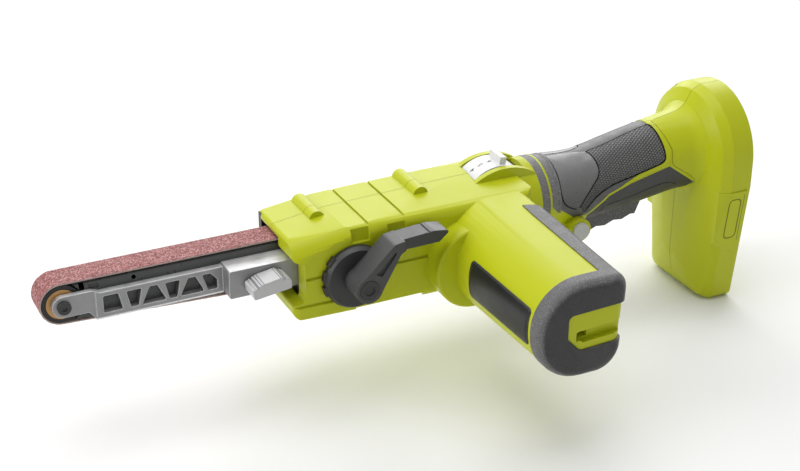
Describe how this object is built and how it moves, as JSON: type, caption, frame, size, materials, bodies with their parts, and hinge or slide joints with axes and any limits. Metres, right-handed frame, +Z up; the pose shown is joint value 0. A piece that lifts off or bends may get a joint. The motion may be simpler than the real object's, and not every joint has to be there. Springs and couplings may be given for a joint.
{
  "type": "power file",
  "caption": "Cordless power file: a narrow sanding belt on a slim spring-tensioned arm, crosswise motor barrel, rear grip and open battery foot.",
  "frame": {"origin": "middle of the battery socket's mouth, on the foot's rear face", "axes": "+X out of the battery socket, away from the nose roller; +Y to the user's right; +Z up"},
  "size_m": [0.3943, 0.1641, 0.1245],
  "materials": {
    "lime_plastic": "satin",
    "black_plastic": "fine grain",
    "dark_plastic": "fine grain",
    "grip_rubber": "textured",
    "steel": "bright",
    "black_steel": "blackened",
    "abrasive_cloth": "coarse grit",
    "cast_alloy": "satin die cast",
    "roller_rubber": "smooth",
    "hub_bronze": "satin",
    "pale_plastic": "satin",
    "motor_steel": "plated",
    "iron_core": "laminated",
    "circuit_board": "lacquered"
  },
  "bodies": {
    "housing": {"left_housing": "lime_plastic", "right_housing": "lime_plastic", "belt_cover": "black_plastic", "cover_screws": "steel", "housing_screws": "steel", "sanding_belt": "abrasive_cloth", "gear_plate": "steel", "plate_screws": "steel", "drive_bearings": "steel", "motor_can": "motor_steel", "motor_magnets": "iron_core", "brush_cap": "black_plastic", "rotor_bearings": "steel", "motor_bumper": "grip_rubber", "vent_cover": "lime_plastic", "neck_band": "grip_rubber", "upper_grip": "grip_rubber", "lower_grip": "grip_rubber", "trigger_pin": "steel", "trigger_switch": "black_plastic", "speed_board": "circuit_board", "battery_contacts": "hub_bronze", "tension_spring": "steel", "dial_axle": "steel"},
    "arm": {"arm_frame": "cast_alloy", "platen_rail": "black_steel", "lower_platen": "steel", "nose_axle": "black_steel", "platen_screws": "steel"},
    "nose_roller": {"nose_hub": "hub_bronze", "nose_tyre": "roller_rubber"},
    "tracking_knob": {"tracking_knob": "pale_plastic", "tracking_screw": "steel"},
    "tension_lever": {"tension_lever": "dark_plastic", "lever_disc": "black_plastic", "cam_shaft": "steel", "lever_cap": "black_plastic"},
    "drive": {"drive_shaft": "steel", "drive_roller": "cast_alloy", "drive_tyre": "roller_rubber", "drive_gear": "steel"},
    "rotor": {"motor_shaft": "steel", "armature": "iron_core", "commutator": "hub_bronze", "cooling_fan": "black_plastic", "pinion": "steel"},
    "trigger": {"trigger": "black_plastic"},
    "lock_button": {"lock_button": "pale_plastic"},
    "speed_dial": {"speed_dial": "pale_plastic"}
  },
  "joints": [
    {"name": "lever_swing", "type": "hinge", "parent": "housing", "child": "tension_lever", "pos_m": [-0.24016, -0.031, -0.016], "axis": [0, -1, 0], "range_deg": [0, 110]},
    {"name": "arm_slide", "type": "slide", "parent": "housing", "child": "arm", "axis": [1, 0, 0], "range_m": [0, 0.006], "deforming": ["tension_spring"]},
    {"name": "knob_turn", "type": "hinge", "parent": "arm", "child": "tracking_knob", "pos_m": [-0.28516, -0.02, -0.0117], "axis": [0, -1, 0], "range_deg": [-60, 60]},
    {"name": "drive_spin", "type": "hinge", "parent": "housing", "child": "drive", "pos_m": [-0.19456, 0, -0.0142], "axis": [0, 1, 0], "continuous": true},
    {"name": "rotor_spin", "type": "hinge", "parent": "housing", "child": "rotor", "pos_m": [-0.1636, -0.06, -0.02], "axis": [0, 1, 0], "continuous": true},
    {"name": "nose_spin", "type": "hinge", "parent": "arm", "child": "nose_roller", "pos_m": [-0.38316, 0, -0.01], "axis": [0, 1, 0], "continuous": true},
    {"name": "trigger_pull", "type": "hinge", "parent": "housing", "child": "trigger", "pos_m": [-0.054, 0, -0.0185], "axis": [0, 1, 0], "range_deg": [0, 6], "stiffness_Nm_per_rad": 0.7, "springref_deg": -5.73},
    {"name": "lock_slide", "type": "slide", "parent": "housing", "child": "lock_button", "axis": [0, 1, 0], "range_m": [-0.0012, 0.0012], "stiffness_N_per_m": 800},
    {"name": "dial_turn", "type": "hinge", "parent": "housing", "child": "speed_dial", "pos_m": [-0.1457, 0, -0.005], "axis": [0, 1, 0], "range_deg": [-22, 22]}
  ],
  "couplings": [
    {"joint": "lever_swing", "follows": "arm_slide", "rad_per_m": 319.98},
    {"joint": "rotor_spin", "follows": "drive_spin", "ratio": -1.52},
    {"joint": "nose_spin", "follows": "drive_spin", "ratio": 1.3962}
  ]
}
